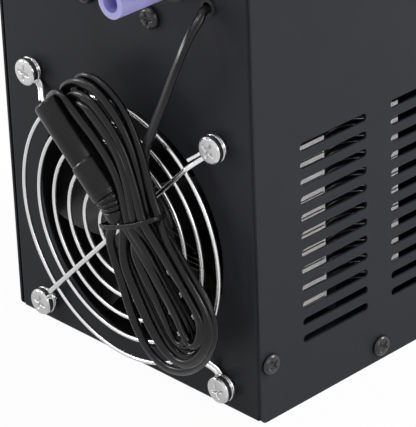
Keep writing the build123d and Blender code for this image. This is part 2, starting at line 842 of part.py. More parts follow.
def cord_socket():
    """Moulded body of the in-line socket, with a bore at its mouth and ribs on its sleeve."""
    body = socket_outline(0.0)
    place = socket_place()
    body -= place * extrude(Circle(socket_bore_r), amount=-socket_depth)
    for i in range(relief_ribs):
        groove = Circle(socket_neck_r) - Circle(relief_r - rib_depth)
        body -= place * Pos(0, 0, -socket_len - (i + 0.5) * rib_pitch) * extrude(groove, amount=-rib_gap)
    return body


def socket_shell():
    """Metal sleeve contact inside the socket."""
    ring = Circle(socket_bore_r) - Circle(socket_bore_r - shell_t)
    return socket_place() * Pos(0, 0, -shell_in) * extrude(ring, amount=shell_in - socket_depth)


def socket_pin():
    """Centre pin of the socket, with a rounded tip."""
    pin = Pos(0, 0, -socket_depth) * extrude(Circle(pin_r), amount=socket_depth - pin_in)
    return socket_place() * fillet(pin.edges().group_by(Axis.Z)[-1], pin_r / 2)


def write(name, shape):
    """Write one sub-part, or a group of like solids, to its own file."""
    if isinstance(shape, list):
        shape = Compound(children=[solid for item in shape for solid in item.solids()])
    shape.label = name
    export_step(shape, f"parts/{name}.step")


os.makedirs("parts", exist_ok=True)
for make in (
    floor_pan, fan_panel, rear_panel, top_cover, cover_screws,
    fan_frame, fan_bearing, fan_shaft, fan_impeller, fan_magnet, fan_stator, fan_circuit,
    fan_guard, guard_screws,
    heat_sink_fins, heat_pipes, heat_sink_base, clamp_posts, clamp_screws,
    peltier_module, water_block, block_insulation, hose_grommets,
    terminal_bracket, terminal_board, bracket_screws, supply_lead, module_lead, fan_lead,
    cord_grommet, power_cord, cord_hank, cord_tie, cord_socket, socket_shell, socket_pin,
):
    write(make.__name__, make())
write("inlet_hose", hose(-1))
write("outlet_hose", hose(1))
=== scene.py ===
"""Aquarium chiller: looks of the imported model, laid out as a Blender add-on and run as a script."""
from math import cos, hypot, pi, radians, sin, tau

import bpy
import numpy as np
from mathutils import Matrix, Vector


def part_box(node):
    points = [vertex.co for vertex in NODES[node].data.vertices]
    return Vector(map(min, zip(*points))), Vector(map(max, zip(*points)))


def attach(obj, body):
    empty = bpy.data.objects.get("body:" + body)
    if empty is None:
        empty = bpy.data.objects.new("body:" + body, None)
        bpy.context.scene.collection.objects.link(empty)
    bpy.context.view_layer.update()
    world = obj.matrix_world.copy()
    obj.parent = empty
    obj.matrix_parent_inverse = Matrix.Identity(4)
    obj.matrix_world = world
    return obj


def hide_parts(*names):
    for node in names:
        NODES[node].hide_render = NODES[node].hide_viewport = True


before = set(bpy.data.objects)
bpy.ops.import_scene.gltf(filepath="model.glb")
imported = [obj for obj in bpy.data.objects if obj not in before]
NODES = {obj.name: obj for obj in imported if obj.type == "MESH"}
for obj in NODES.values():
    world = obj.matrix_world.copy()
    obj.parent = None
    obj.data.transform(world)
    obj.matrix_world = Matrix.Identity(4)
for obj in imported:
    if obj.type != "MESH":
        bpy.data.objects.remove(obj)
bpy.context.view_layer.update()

bl_info = {
    "name": "Aquarium chiller",
    "version": (1, 0, 0),
    "blender": (4, 5, 0),
    "location": "3D View > Sidebar > Chiller",
    "description": "Dresses the chiller with its guard, screws, cord, connector and finishes",
    "category": "Object",
}

MM = 0.001
WHITE = (1.0, 1.0, 1.0, 1.0)
# Plane of the fan end, height of the fan's axis, and the guard screws' square about that axis
PANEL_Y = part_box("fan_panel")[0].y
FAN_Z = sum(corner.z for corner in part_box("fan_guard")) / 2
SCREW_SPAN = 0.0525
SCREWS = [(sx * SCREW_SPAN, FAN_Z + sz * SCREW_SPAN) for sx in (-1, 1) for sz in (-1, 1)]

# Points of the cord, in millimetres: across, out from the fan end, up, and the turn of
# the flat cord in degrees. It leaves its hole and runs down behind the hank into the tie.
CORD_DROP = [
    (49.5, -1, 171.7, 0), (49.5, 2.8, 171.3, 0), (50.3, 5.6, 168.5, 10), (49.5, 8.6, 165, 0),
    (48.8, 11.6, 160.2, -10), (47.7, 14, 154.6, -20), (46, 15.6, 148.5, -20), (43.3, 16.4, 141.7, -20),
    (40.1, 16.6, 134.6, -15), (35.9, 16.2, 126.9, -10), (31.5, 15.4, 118.8, 0), (26.1, 13.9, 110.1, 0),
    (23.7, 12.5, 99.4, 0), (25, 12.1, 89.3, 0), (27.8, 12.3, 82.1, 0),
]
# Five turns, each a lower loop (right side, bottom, left side) and an upper loop (left side, top, right
# side), with one point inside the tie after each.
CORD_TURNS = (
    (
        [
            (38.2, 14.5, 76.4, 0), (45.3, 15.5, 70.2, 20), (52.8, 16.4, 64.3, 30),
            (58.5, 16.4, 58.2, 30), (62, 16.4, 52.2, 40), (63.3, 16.4, 44.8, 60), (61, 16.2, 36.4, 70),
            (54.9, 16, 27.7, 60), (46.1, 15.6, 20.6, 40), (36.3, 15.2, 17.5, 20), (27.6, 15, 18.9, 10),
            (20.5, 14.8, 24.4, 0), (14.7, 14.5, 33.8, -20), (10.3, 14.2, 45.7, -40),
            (5.5, 13.8, 55.8, -30), (2.8, 13.8, 63.7, -20), (6.5, 14, 72.8, 0),
        ],
        [
            (3, 13.2, 76.6, 0), (-4.2, 12.4, 80.6, 10), (-12.6, 12, 86.4, 10), (-21, 11.9, 93.6, 10),
            (-27.5, 12, 101.5, 0), (-30.2, 12.4, 109, -10), (-26.5, 15, 114.7, -30),
            (-21.2, 18, 120, -60), (-14.9, 20.6, 124.2, -60), (-10.3, 21.8, 124.2, -30),
            (-7.3, 22, 121.9, -10), (-3.2, 22, 118.9, 0), (0.9, 22, 116, 0), (4.8, 21.8, 113.1, 0),
            (8.7, 21.7, 109.7, 0), (12.5, 21.5, 105.9, 0), (15.7, 21.3, 101.5, 0), (18.1, 21, 96.7, 0),
            (19.8, 20.8, 91.4, 0), (21.7, 20.7, 79.5, 0),
        ],
    ),
    (
        [
            (29, 20, 72.2, 0), (34.3, 19.6, 64.4, 20), (39.6, 19, 57, 30), (44.9, 18.6, 50, 20),
            (49.5, 18.2, 44.2, 0), (50.9, 18, 39.1, 30), (47.7, 17.8, 34.2, 60), (43, 17.6, 33.8, 50),
            (39.1, 17.6, 38.1, 20), (34.2, 17.8, 46.9, 0), (28.1, 18.2, 57.1, -20),
            (22.1, 18.8, 67.4, -20), (19.5, 12.1, 78.5, 0),
        ],
        [
            (19.3, 11.9, 90.6, 0), (9.5, 11.9, 101.5, 10), (1, 12, 110, 10), (-5.5, 12.1, 117.5, 10),
            (-10, 12.6, 124.5, 0), (-10.3, 14.2, 128.2, -30), (-5.5, 15.4, 131.9, -30),
            (-1.2, 15.8, 133.1, -20), (2.7, 15.8, 132.8, 0), (7.7, 15.8, 131.2, 0),
            (12.1, 15.7, 128.6, 0), (15.6, 15.6, 125.6, 0), (19, 15.6, 121.8, 0), (21.8, 15.6, 117, 0),
            (24.7, 15.6, 111.2, 0), (27.7, 15.6, 101.5, 10), (30.5, 15.4, 91.5, 20),
            (33.8, 15.4, 84.7, 20),
        ],
    ),
    (
        [
            (40, 18.2, 78.1, 0), (46.6, 18.8, 71.2, -10), (53, 19, 64.2, -20), (58.9, 19.2, 57.8, -10),
            (62.6, 19.4, 52.4, 20), (63.9, 19.6, 45.6, 40), (61.3, 19.6, 38, 50),
            (55.3, 19.4, 30.6, 40), (48.8, 19.2, 26.6, 20), (41.1, 18.8, 26.7, 0),
            (34.6, 18.6, 30.7, -20), (27.6, 18.2, 38.4, -40), (20.4, 17.6, 48.9, -40),
            (13.2, 16.6, 59.3, -30), (11.4, 12.7, 75, 0),
        ],
        [
            (6.3, 12.3, 85.8, 0), (-2, 12.1, 91.5, 10), (-9.8, 12.2, 97.5, 10), (-13.8, 13, 104, 0),
            (-13.3, 14.6, 110.2, -30), (-8.6, 17.6, 118.8, -50), (-3.8, 19.6, 122.3, -40),
            (0.7, 20.8, 122.7, -20), (4.2, 21.2, 121.4, 0), (7.2, 21.2, 119.4, 0),
            (10.7, 21.2, 116.8, 0), (14.3, 21.1, 113.3, 0), (17.7, 21, 109.2, 0),
            (20.5, 20.9, 104.1, 0), (22.6, 20.9, 97.5, 0), (24.1, 20.9, 90.3, 0), (25.7, 20.9, 81.2, 0),
        ],
    ),
    (
        [
            (29.4, 17, 71.1, 0), (34.5, 16.4, 63.1, -20), (40.1, 15.8, 55.3, -40),
            (45.7, 15.4, 48.5, -40), (50.4, 15.2, 42.3, -20), (51.3, 15, 36.4, 20), (47.7, 15, 31, 50),
            (42.7, 15, 30.6, 50), (38.2, 15, 35.2, 20), (33.8, 15.2, 43.4, 0), (28.3, 15.6, 53.5, -20),
            (21.7, 16, 64.4, -20), (23.5, 13.4, 80.3, 0),
        ],
        [
            (15.5, 14.4, 89.8, 0), (5, 12.6, 98, 10), (-4, 12.2, 106, 10), (-12, 12.3, 113.4, 10),
            (-17.3, 13, 119.3, 0), (-18, 14.8, 122.4, -40), (-12.6, 17, 126.9, -40),
            (-6.5, 18.2, 130.1, -20), (-1.5, 18.4, 131.2, 0), (3.2, 18.4, 130.7, 0),
            (7.6, 18.4, 128.7, 0), (11.4, 18.4, 126.3, 0), (14.3, 18.2, 123.4, 0),
            (17.4, 18.1, 119.9, 0), (20.2, 17.9, 115.4, 0), (22.9, 17.7, 109, 0), (25.3, 17.5, 101, -5),
            (27.3, 17.4, 91.2, -10), (29.8, 17.4, 83, -10),
        ],
    ),
    (
        [
            (32.7, 14.2, 72.5, 0), (38, 13.6, 63.7, 10), (44.1, 13.2, 55.8, 20), (50.2, 13, 49.2, 20),
            (54.3, 13, 43.3, 30), (54.8, 13, 36.5, 50), (50.8, 13, 29.4, 60), (45.1, 13, 25, 40),
            (38.9, 12.8, 24.7, 20), (33, 12.6, 28.1, 0), (27.2, 12.4, 34.8, -10),
            (20.7, 12.2, 44.7, -20), (13.7, 12.2, 56.4, -20), (15.5, 12.4, 76.7, 0),
        ],
        [
            (10.5, 12.2, 87.7, 0), (1, 12, 94.5, 10), (-8.5, 12.1, 101.8, 10), (-14.5, 12.6, 108.5, 0),
            (-16.8, 14, 115.5, -30), (-11.3, 17.6, 121.8, -50), (-5.8, 19.4, 125.4, -30),
            (-0.8, 20.1, 126.6, 0), (3.1, 20.2, 125.9, 0), (6.8, 20.2, 123.9, 0),
            (10.4, 20.2, 121.3, 0), (13.9, 20.1, 117.9, 0), (17.3, 20, 114.1, 0),
            (20.5, 19.9, 109.2, 0), (23.5, 19.9, 102.1, 5), (25.7, 20, 96.1, 8), (27.8, 20.2, 90.5, 10),
            (30, 20.4, 83, 10),
        ],
    ),
)
# Last lower loop, up to the connector's sleeve.
CORD_END = [
    (36.7, 20.2, 76.4, 10), (43.4, 20.8, 70.4, 0), (50.1, 21, 63.9, -20), (56.1, 21, 57.5, -30),
    (60.4, 21, 51.8, -10), (61.5, 21, 45.7, 30), (58.7, 21, 39.6, 60), (54.3, 21, 38, 60),
    (50.6, 21, 42.3, 40), (46.3, 21, 49.4, 20), (39.6, 20.8, 57.3, 0), (31.3, 20.4, 66.7, -10),
    (19.3, 18.6, 75.2, 0), (16.7, 19, 78.9, 0),
]
CORD_TURN_POINTS = [point for turn in CORD_TURNS for loop in turn for point in loop]
CORD_POINTS = np.array(CORD_DROP + CORD_TURN_POINTS + CORD_END, dtype=float)


# Shapes

def unit(vectors):
    """Vectors divided by their lengths."""
    return vectors / np.maximum(np.linalg.norm(vectors, axis=-1, keepdims=True), 1e-12)


def smooth(low, high, value):
    """Rises from 0 at low to 1 at high as 3t squared less 2t cubed."""
    t = np.clip((np.asarray(value, float) - low) / (high - low), 0, 1)
    return t * t * (3 - 2 * t)


def grid(points, wrap_rows=False, wrap_cols=False, cap=False, tone=0.0):
    """Grid of points as quads; cap closes the first and last row with a point at the row's mean."""
    rows, cols = points.shape[:2]
    row_starts = np.arange(rows if wrap_rows else rows - 1)
    col_starts = np.arange(cols if wrap_cols else cols - 1)
    a, b = (index.ravel() for index in np.meshgrid(row_starts, col_starts, indexing="ij"))
    a2, b2 = (a + 1) % rows, (b + 1) % cols
    quads = np.stack([a * cols + b, a2 * cols + b, a2 * cols + b2, a * cols + b2], 1)
    verts = points.reshape(-1, 3)
    tones = np.broadcast_to(tone, points.shape[:2]).ravel()
    tris = np.zeros((0, 3), int)
    if cap:
        count = len(verts)
        ends = points[[0, -1]].mean(1)
        verts = np.concatenate([verts, ends])
        tones = np.concatenate([tones, tones[[0, -1]]])
        here = np.arange(cols)
        ahead = (here + 1) % cols
        last = (rows - 1) * cols
        first_fan = np.stack([np.full(cols, count), here, ahead], 1)
        last_fan = np.stack([np.full(cols, count + 1), last + ahead, last + here], 1)
        tris = np.concatenate([first_fan, last_fan])
    return outward(verts, quads, tris) + (tones,)


def outward(verts, quads, tris):
    """Faces turned so that the volume they close, a sum of tetrahedra at the origin, is positive."""
    every = np.concatenate([quads[:, [0, 1, 2]], quads[:, [0, 2, 3]], tris])
    p, q, r = (verts[every[:, i]] - verts.mean(0) for i in range(3))
    if (p * np.cross(q, r)).sum() < 0:
        quads, tris = quads[:, ::-1], tris[:, ::-1]
    return verts, quads, tris


def piece(name, parts, finish, body="casing", replaces=(), flat=False):
    """One object at the origin made of the parts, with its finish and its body."""
    start, verts, faces, tones = 0, [], [], []
    for points, quads, tris, part_tones in parts:
        verts.append(points)
        faces += (quads + start).tolist() + (tris + start).tolist()
        tones.append(part_tones)
        start += len(points)
    mesh = bpy.data.meshes.new(name)
    mesh.from_pydata(np.concatenate(verts), [], faces)
    tone = mesh.attributes.new("tone", "FLOAT", "POINT")
    tone.data.foreach_set("value", np.concatenate(tones).astype("f"))
    mesh.polygons.foreach_set("use_smooth", np.full(len(faces), not flat))
    mesh.update()
    obj = bpy.data.objects.new(name, mesh)
    bpy.context.scene.collection.objects.link(obj)
    mesh.materials.append(finish)
    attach(obj, body)
    if replaces:
        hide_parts(*replaces)
    return obj


def sweep(path, section, across, turn=0.0, closed=False):
    """Section carried along a path: point + x * side + y * rise. The side is the path's direction
    crossed with across, the rise is square to both, and turn rolls them about the path."""
    step = np.roll(path, -1, 0) - np.roll(path, 1, 0) if closed else np.gradient(path, axis=0)
    along = unit(step)
    side = unit(np.cross(along, across))
    rise = np.cross(side, along)
    turn = np.broadcast_to(turn, len(path))[:, None]
    side, rise = side * np.cos(turn) + rise * np.sin(turn), rise * np.cos(turn) - side * np.sin(turn)
    x, y = section[None, :, :1], section[None, :, 1:]
    points = path[:, None] + x * side[:, None] + y * rise[:, None]
    return grid(points, wrap_rows=closed, wrap_cols=True, cap=not closed)


def ring_section(radius, count):
    """Points evenly round a circle."""
    angle = np.arange(count) * tau / count
    return radius * np.stack([np.cos(angle), np.sin(angle)], 1)


def lathe(radii, heights, origin, axis, count=48, tone=0.0):
    """Profile turned about an axis: origin + height * axis + radius round it."""
    axis = unit(np.array(axis, float))
    helper = np.array([0.0, 0.0, 1.0]) if abs(axis[2]) < 0.9 else np.array([1.0, 0.0, 0.0])
    side = unit(np.cross(axis, helper))
    rise = np.cross(axis, side)
    angle = np.arange(count) * tau / count
    round_it = np.cos(angle)[:, None] * side + np.sin(angle)[:, None] * rise
    radii, heights = np.array(radii, float), np.array(heights, float)
    points = np.array(origin) + heights[:, None, None] * axis + radii[:, None, None] * round_it
    tone = np.broadcast_to(np.reshape(tone, (-1, 1)), (len(radii), count))
    return grid(points, wrap_cols=True, cap=True, tone=tone)


def box_part(low, high, tone=0.0):
    """Box between two corners: a rectangle carried from its lower level to its upper one."""
    low, high = np.array(low, float), np.array(high, float)
    x, y, z = (low + high) / 2
    half = (high - low) / 2
    path = np.array([[x, y, low[2]], [x, y, high[2]]])
    corners = np.array([[-1, -1], [1, -1], [1, 1], [-1, 1]]) * [half[0], half[1]]
    points = path[:, None] + np.concatenate([corners, np.zeros((4, 1))], 1)
    return grid(points, wrap_cols=True, cap=True, tone=tone)


# Finishes

NOISE_ENDS = (0.3, 0.7)
MIX_FACTOR, MIX_FIRST, MIX_SECOND, MIX_COLOUR = 0, 6, 7, 2


class Value:
    """A shader value: arithmetic on it adds Math nodes."""

    def __init__(self, nodes, socket):
        self.nodes, self.socket = nodes, socket

    def math(self, operation, first, second):
        return self.nodes.node("ShaderNodeMath", {"operation": operation}, {0: first, 1: second})

    def __add__(self, other):
        return self.math("ADD", self, other)

    __radd__ = __add__

    def __mul__(self, other):
        return self.math("MULTIPLY", self, other)

    __rmul__ = __mul__

    def __sub__(self, other):
        return self.math("SUBTRACT", self, other)

    def __rsub__(self, other):
        return self.math("SUBTRACT", other, self)


class Nodes:
    """Nodes of a material or a world, all made by one method."""

    def __init__(self, owner):
        owner.use_nodes = True
        self.tree = owner.node_tree

    def node(self, kind, setup=None, inputs=None, output=0):
        """One node, with its settings first and then the values or links of its sockets."""
        made = self.tree.nodes.new(kind)
        for key, value in (setup or {}).items():
            setattr(made, key, value)
        for key, value in (inputs or {}).items():
            self.feed(made.inputs[key], value)
        return Value(self, made.outputs[output])

    def feed(self, socket, value):
        """Links a value to a socket, or sets the socket to a number or colour."""
        if isinstance(value, Value):
            self.tree.links.new(value.socket, socket)
        else:
            socket.default_value = value

    def background_rays(self):
        """Camera rays, and glossy and transmission rays together, each as 0 or 1."""
        camera = self.node("ShaderNodeLightPath")
        rays = camera.socket.node.outputs
        return camera, Value(self, rays["Is Glossy Ray"]) + Value(self, rays["Is Transmission Ray"])


class Finish(Nodes):
    """A material: its sockets are set by name, with _ for a space."""

    def __init__(self, name, **constants):
        self.material = bpy.data.materials.new(name)
        super().__init__(self.material)
        self.shader = self.tree.nodes["Principled BSDF"]
        self.set(**constants)

    def set(self, **sockets):
        for name, value in sockets.items():
            self.feed(self.shader.inputs[name.replace("_", " ")], value)

    def place(self):
        """Object coordinates, in metres."""
        return self.node("ShaderNodeTexCoord", output="Object")

    def noise(self, scale, detail=2.0):
        """Noise over the piece, with so many waves in a metre."""
        sockets = {"Vector": self.place(), "Scale": scale, "Detail": detail}
        return self.node("ShaderNodeTexNoise", None, sockets)

    def range(self, value, low, high):
        """Value between a noise's usual ends carried to low to high."""
        start, end = NOISE_ENDS
        sockets = {"Value": value, "From Min": start, "From Max": end, "To Min": low, "To Max": high}
        return self.node("ShaderNodeMapRange", None, sockets)

    def mix(self, factor, first, second):
        """Colour between two colours."""
        sockets = {MIX_FACTOR: factor, MIX_FIRST: first, MIX_SECOND: second}
        return self.node("ShaderNodeMix", {"data_type": "RGBA"}, sockets, output=MIX_COLOUR)

    def bump(self, height, depth, strength=1.0):
        """Normal of a height from 0 to 1, as deep as the depth in metres."""
        return self.node("ShaderNodeBump", None, {"Height": height, "Distance": depth, "Strength": strength})

    def tone(self):
        """The piece's own painted value, 0 to 1."""
        return self.node("ShaderNodeAttribute", {"attribute_name": "tone"}, output="Fac")


def shade(colour, factor):
    """Colour made lighter or darker, as four numbers."""
    return (*(min(1.0, channel * factor) for channel in colour[:3]), 1.0)


def plain(name, colour, rough, metal=0.0, grain=900.0, spread=0.12, depth=0.00004):
    """Finish with a fine grain that varies its colour, gloss and height."""
    finish = Finish(name, Metallic=metal)
    fine, broad = finish.noise(grain), finish.noise(grain / 22, 3.0)
    blend = finish.range(fine * 0.5 + broad * 0.5, 0.0, 1.0)
    finish.set(
        Base_Color=finish.mix(blend, shade(colour, 1 - spread), shade(colour, 1 + spread)),
        Roughness=finish.range(broad, rough * 0.88, min(1.0, rough * 1.12)),
        Normal=finish.bump(fine, depth),
    )
    return finish.material


def powder_coat(name, colour, rough):
    """Baked powder paint: a fine pebbled surface with faint broad clouding."""
    finish = Finish(name, Metallic=0.0, Specular_IOR_Level=0.13)
    pebble, cloud = finish.noise(2300.0, 1.5), finish.noise(60.0, 3.0)
    blend = finish.range(cloud * 0.6 + pebble * 0.4, 0.0, 1.0)
    finish.set(
        Base_Color=finish.mix(blend, shade(colour, 0.9), shade(colour, 1.1)),
        Roughness=finish.range(cloud, rough * 0.92, rough * 1.08),
        Normal=finish.bump(pebble, 0.00003, 0.6),
    )
    return finish.material


def plated(name, colour):
    """Bright plating: tone 0 is a fine brushed face and tone 1 a polished edge."""
    finish = Finish(name, Metallic=1.0)
    tone = finish.tone()
    fine = finish.noise(2600.0, 2.0)
    broad = finish.noise(260.0, 3.0)
    dull = finish.range(fine * 0.5 + broad * 0.5, 0.3, 0.42)
    finish.set(
        Base_Color=finish.mix(finish.range(broad, 0.0, 1.0), shade(colour, 0.74), shade(colour, 0.86)),
        Roughness=dull * (1 - tone) + tone * 0.1,
        Normal=finish.bump(fine * (1 - tone * 0.8), 0.00002, 0.5),
    )
    return finish.material


def fin_metal_painted_shade(name, colour):
    """Rolled sheet: tone 1 is a satin fold in the sheet's own colour, and tone 0 a plate painted darker as
    shade.
    """
    finish = Finish(name)
    tone, cloud, fine = finish.tone(), finish.noise(90.0, 3.0), finish.noise(900.0)
    bright = finish.mix(finish.range(cloud, 0.0, 1.0), shade(colour, 0.93), shade(colour, 1.04))
    finish.set(
        # Painted shade: the plates (tone 0) get four tenths of the sheet's colour, for the shade between the
        # fins
        Base_Color=finish.mix(tone, shade(colour, 0.4), bright),
        Metallic=1 - tone * 0.25,
        Roughness=finish.range(cloud, 0.28, 0.34) + tone * 0.25,
        Normal=finish.bump(fine, 0.00001),
    )
    return finish.material


def jacket(name, colour):
    """Soft vinyl jacket: satin, slightly scuffed, with a faint fine grain."""
    finish = Finish(name, Metallic=0.0, Specular_IOR_Level=0.3)
    fine, scuff = finish.noise(1500.0, 2.0), finish.noise(180.0, 4.0)
    finish.set(
        Base_Color=finish.mix(finish.range(scuff, 0.0, 1.0), shade(colour, 0.8), shade(colour, 1.3)),
        Roughness=finish.range(scuff * 0.7 + fine * 0.3, 0.22, 0.33),
        Normal=finish.bump(fine, 0.00002, 0.4),
    )
    return finish.material


def silicone(name, colour):
    """Translucent rubber: light spreads a little under a soft, faintly dusty skin."""
    finish = Finish(
        name, Metallic=0.0, Subsurface_Weight=0.25, Subsurface_Scale=0.003,
        Subsurface_Radius=(0.6, 0.5, 1.0),
    )
    fine, dust = finish.noise(1200.0, 2.0), finish.noise(140.0, 4.0)
    finish.set(
        Base_Color=finish.mix(finish.range(dust, 0.0, 1.0), shade(colour, 0.95), shade(colour, 1.05)),
        Roughness=finish.range(dust, 0.36, 0.46),
        Normal=finish.bump(fine, 0.00003, 0.5),
    )
    return finish.material


def settings():
    """Sizes and colours that the sidebar shows."""
    return bpy.context.scene.chiller_sizes, bpy.context.scene.chiller_colours


def dress(finish, *names):
    """Puts a finish on CAD nodes that keep their shape."""
    for name in names:
        slots = NODES[name].material_slots
        if slots:
            for slot in slots:
                slot.material = finish
        else:
            NODES[name].data.materials.append(finish)


def out(across, depth, height):
    """Point in metres, from millimetres across, out from the fan end and up."""
    x, y, z = np.multiply(across, MM), PANEL_Y - np.multiply(depth, MM), np.multiply(height, MM)
    return np.stack(np.broadcast_arrays(x, y, z), -1)


# Settings

def colour_property(name, default, text):
    return bpy.props.FloatVectorProperty(
        name=name, description=text, default=default, size=3, min=0.0, max=1.0, subtype="COLOR"
    )


def length_property(name, default, text):
    return bpy.props.FloatProperty(
        name=name, description=text, default=default, min=0.0, subtype="DISTANCE", unit="LENGTH"
    )


class ChillerSizes(bpy.types.PropertyGroup):
    """Sizes of the pieces that are made here."""

    ring_wire: length_property("Ring wire", 0.0018, "Diameter of the guard's ring wire")
    spoke_wire: length_property("Spoke wire", 0.0021, "Diameter of the guard's diagonal wires")
    tail: length_property("Wire tail", 0.0085, "Length of each wire end folded back beside its diagonal")
    head_radius: length_property("Guard screw head", 0.0057, "Radius of the large plated screw heads")
    cord_width: length_property("Cord width", 0.0042, "Width of the flat twin cord")
    cord_thickness: length_property("Cord thickness", 0.0029, "Thickness of the flat twin cord")
    fin_pitch: length_property("Fin pitch", 0.00245, "Distance between fins of the heat sink")


class ChillerColours(bpy.types.PropertyGroup):
    """Base colours of the finishes."""

    paint: colour_property("Powder coat", (0.0202, 0.0208, 0.0253), "Black grey paint of the casing")
    black: colour_property("Black plastic", (0.008, 0.008, 0.009), "Fan, board and small black pieces")
    cord: colour_property("Cord jacket", (0.0035, 0.0035, 0.004), "Vinyl of the cord and connector")
    plating: colour_property("Plating", (0.80, 0.80, 0.80), "Bright plated wire and screws")
    silicone: colour_property("Hose silicone", (0.43, 0.41, 0.79), "Lilac silicone of the hoses")
    aluminium: colour_property("Fins", (0.92, 0.90, 0.88), "Mill finish aluminium")


# Pieces

class CHILLER_OT_casing(bpy.types.Operator):
    """Powder coat on the folded sheet metal"""

    bl_idname = "chiller.casing"
    bl_label = "Casing"

    def execute(self, context):
        _, colours = settings()
        panel_paint = powder_coat("panel_paint", colours.paint, 0.42)
        dress(panel_paint, "floor_pan", "fan_panel", "rear_panel", "terminal_bracket")
        dress(powder_coat("cover_paint", colours.paint, 0.46), "top_cover")
        dress(plain("grommet_rubber", colours.black, 0.6), "cord_grommet", "hose_grommets")
        return {"FINISHED"}


class CHILLER_OT_fan(bpy.types.Operator):
    """Moulded fan behind the guard, with its motor"""

    bl_idname = "chiller.fan"
    bl_label = "Fan"

    def execute(self, context):
        _, colours = settings()
        dress(plain("fan_plastic", colours.black, 0.42, grain=1400.0), "fan_frame", "fan_impeller")
        dress(plain("bearing_bronze", (0.42, 0.25, 0.10), 0.35, metal=1.0), "fan_bearing")
        dress(plain("shaft_steel", (0.6, 0.6, 0.6), 0.25, metal=1.0), "fan_shaft")
        dress(plain("magnet_ferrite", (0.05, 0.045, 0.04), 0.7), "fan_magnet")
        dress(plain("motor_windings", (0.40, 0.15, 0.05), 0.4, metal=1.0, grain=500.0), "fan_stator")
        dress(plain("green_board", (0.015, 0.10, 0.04), 0.35, grain=700.0), "fan_circuit", "terminal_board")
        return {"FINISHED"}


class CHILLER_OT_cooler(bpy.types.Operator):
    """Cold block, module, pipes, hoses and wiring inside the casing"""

    bl_idname = "chiller.cooler"
    bl_label = "Cooler and hoses"

    def execute(self, context):
        _, colours = settings()
        dress(plain("pipe_copper", (0.62, 0.29, 0.16), 0.3, metal=1.0), "heat_pipes")
        dress(plain("block_aluminium", colours.aluminium, 0.32, metal=1.0), "water_block", "heat_sink_base")
        dress(plain("post_steel", (0.55, 0.55, 0.56), 0.3, metal=1.0), "clamp_posts", "clamp_screws")
        dress(plain("module_ceramic", (0.75, 0.75, 0.72), 0.5), "peltier_module")
        dress(plain("block_foam", (0.02, 0.02, 0.02), 0.9, grain=600.0, depth=0.0004), "block_insulation")
        dress(jacket("lead_jacket", (0.03, 0.03, 0.03)), "module_lead", "fan_lead", "supply_lead")
        dress(silicone("hose_silicone", colours.silicone), "inlet_hose", "outlet_hose")
        return {"FINISHED"}


class CHILLER_OT_fins(bpy.types.Operator):
    """Stacked fins with folded edges and a hollow in each side"""

    bl_idname = "chiller.fins"
    bl_label = "Fins"

    def execute(self, context):
        sizes, colours = settings()
        low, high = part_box("heat_sink_fins")
        half, front, back = high.x, low.y + 0.0015, high.y - 0.001
        length = back - front
        lift, thick, seam = 0.0008, 0.0004, 0.00028
        notch_length, notch_depth = 0.025, 0.007
        bow = (notch_length**2 / 4 + notch_depth**2) / (2 * notch_depth)
        y = np.linspace(-length / 2, length / 2, 63)
        hollow = np.sqrt(np.maximum(bow**2 - y**2, 0)) - (bow - notch_depth)
        width = half - np.where(np.abs(y) < notch_length / 2, np.maximum(hollow, 0), 0)
        outline = np.concatenate([np.stack([width, y], 1), np.stack([-width, y], 1)[::-1]])
        middle = np.array([0.0, (front + back) / 2, 0.0])
        count = round((high.z - low.z) / sizes.fin_pitch)
        fold = (length - notch_length) / 2
        parts = []
        flat = np.concatenate([outline, np.zeros((len(outline), 1))], 1) + middle
        for i in range(count):
            z = low.z + lift + i * sizes.fin_pitch
            # Plates keep tone 0, which the finish paints darker as shade; the folds take tone 1
            levels = np.stack([flat + [0, 0, z], flat + [0, 0, z + thick]])
            parts.append(grid(levels, wrap_cols=True, cap=True))
            top = z + sizes.fin_pitch - seam
            for side in (-1, 1):
                left, right = sorted((side * half, side * (half - thick)))
                for start in (front, back - fold):
                    parts.append(box_part((left, start, z), (right, start + fold, top), tone=1.0))
        finish = fin_metal_painted_shade("fin_aluminium", colours.aluminium)
        piece("fin_stack", parts, finish, replaces=("heat_sink_fins",), flat=True)
        return {"FINISHED"}


